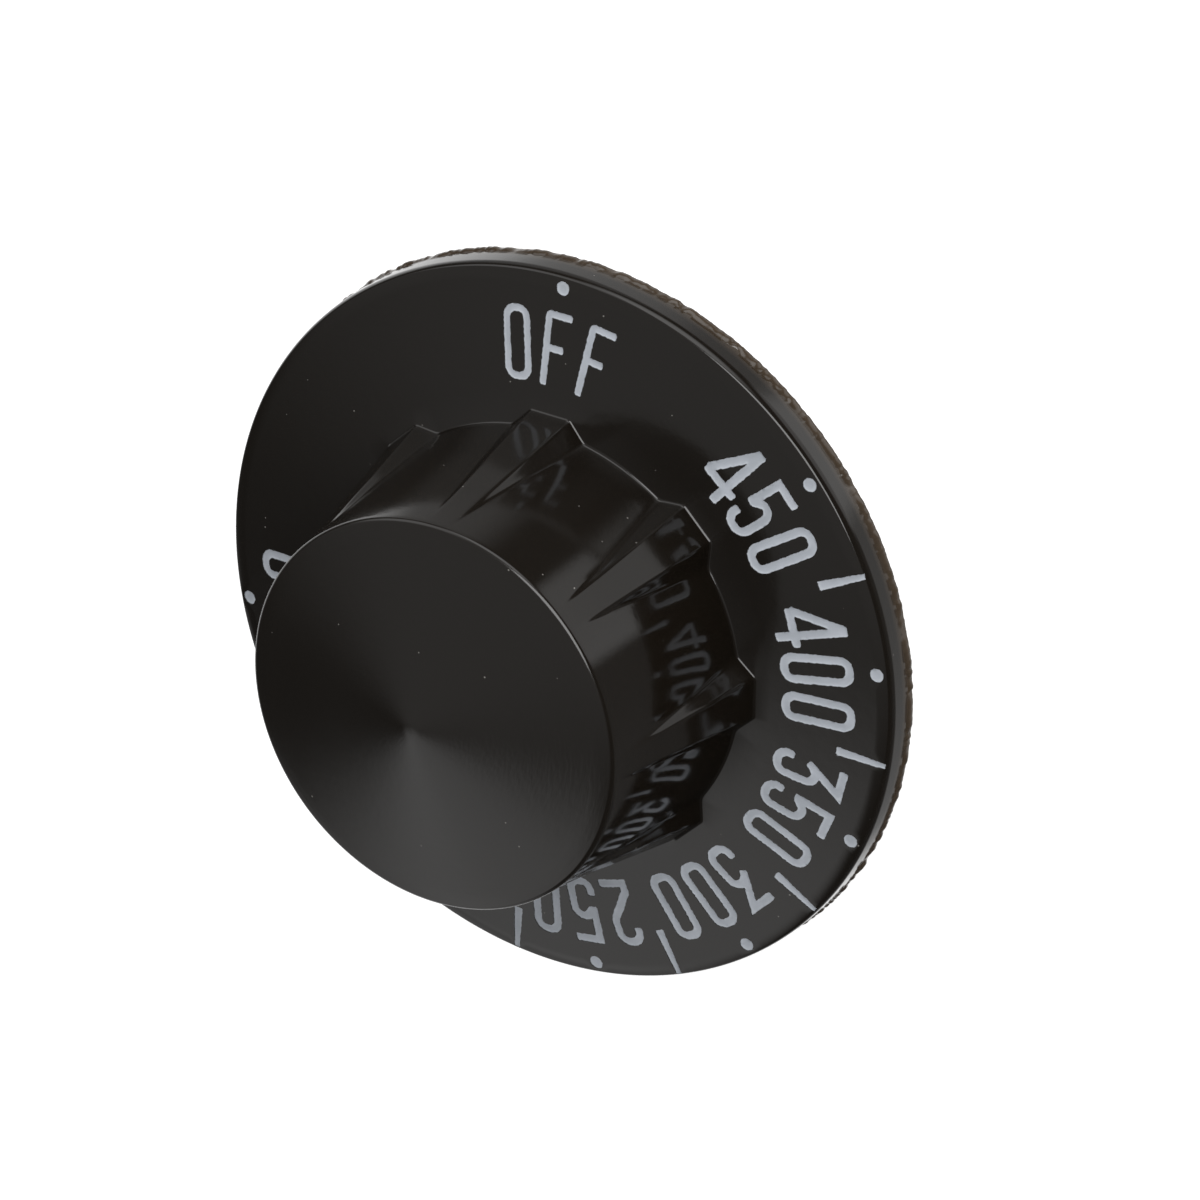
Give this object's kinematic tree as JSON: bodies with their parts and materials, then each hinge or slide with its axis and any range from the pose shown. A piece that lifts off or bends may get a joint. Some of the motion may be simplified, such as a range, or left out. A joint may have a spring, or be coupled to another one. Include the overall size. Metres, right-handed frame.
{
  "type": "appliance dial knob",
  "caption": "Round appliance control knob: a dial skirt with a ribbed, cone-ended grip and a D-shaft socket with a leaf spring in its hollow back.",
  "frame": {"origin": "centre of the back rim, on the plane that the knob lies on", "axes": "+Z along the shaft axis out to the user, +Y towards the OFF end of the scale, +X to its right as the user sees it"},
  "size_m": [0.0636, 0.0634, 0.0251],
  "materials": {
    "phenolic": "glossy moulded, brownish black",
    "spring_steel": "bright rolled strip",
    "mark_paint": "matt pale paint in engraved lines"
  },
  "bodies": {
    "root": {"knob_body": "phenolic", "shaft_spring": "spring_steel"}
  },
  "joints": []
}
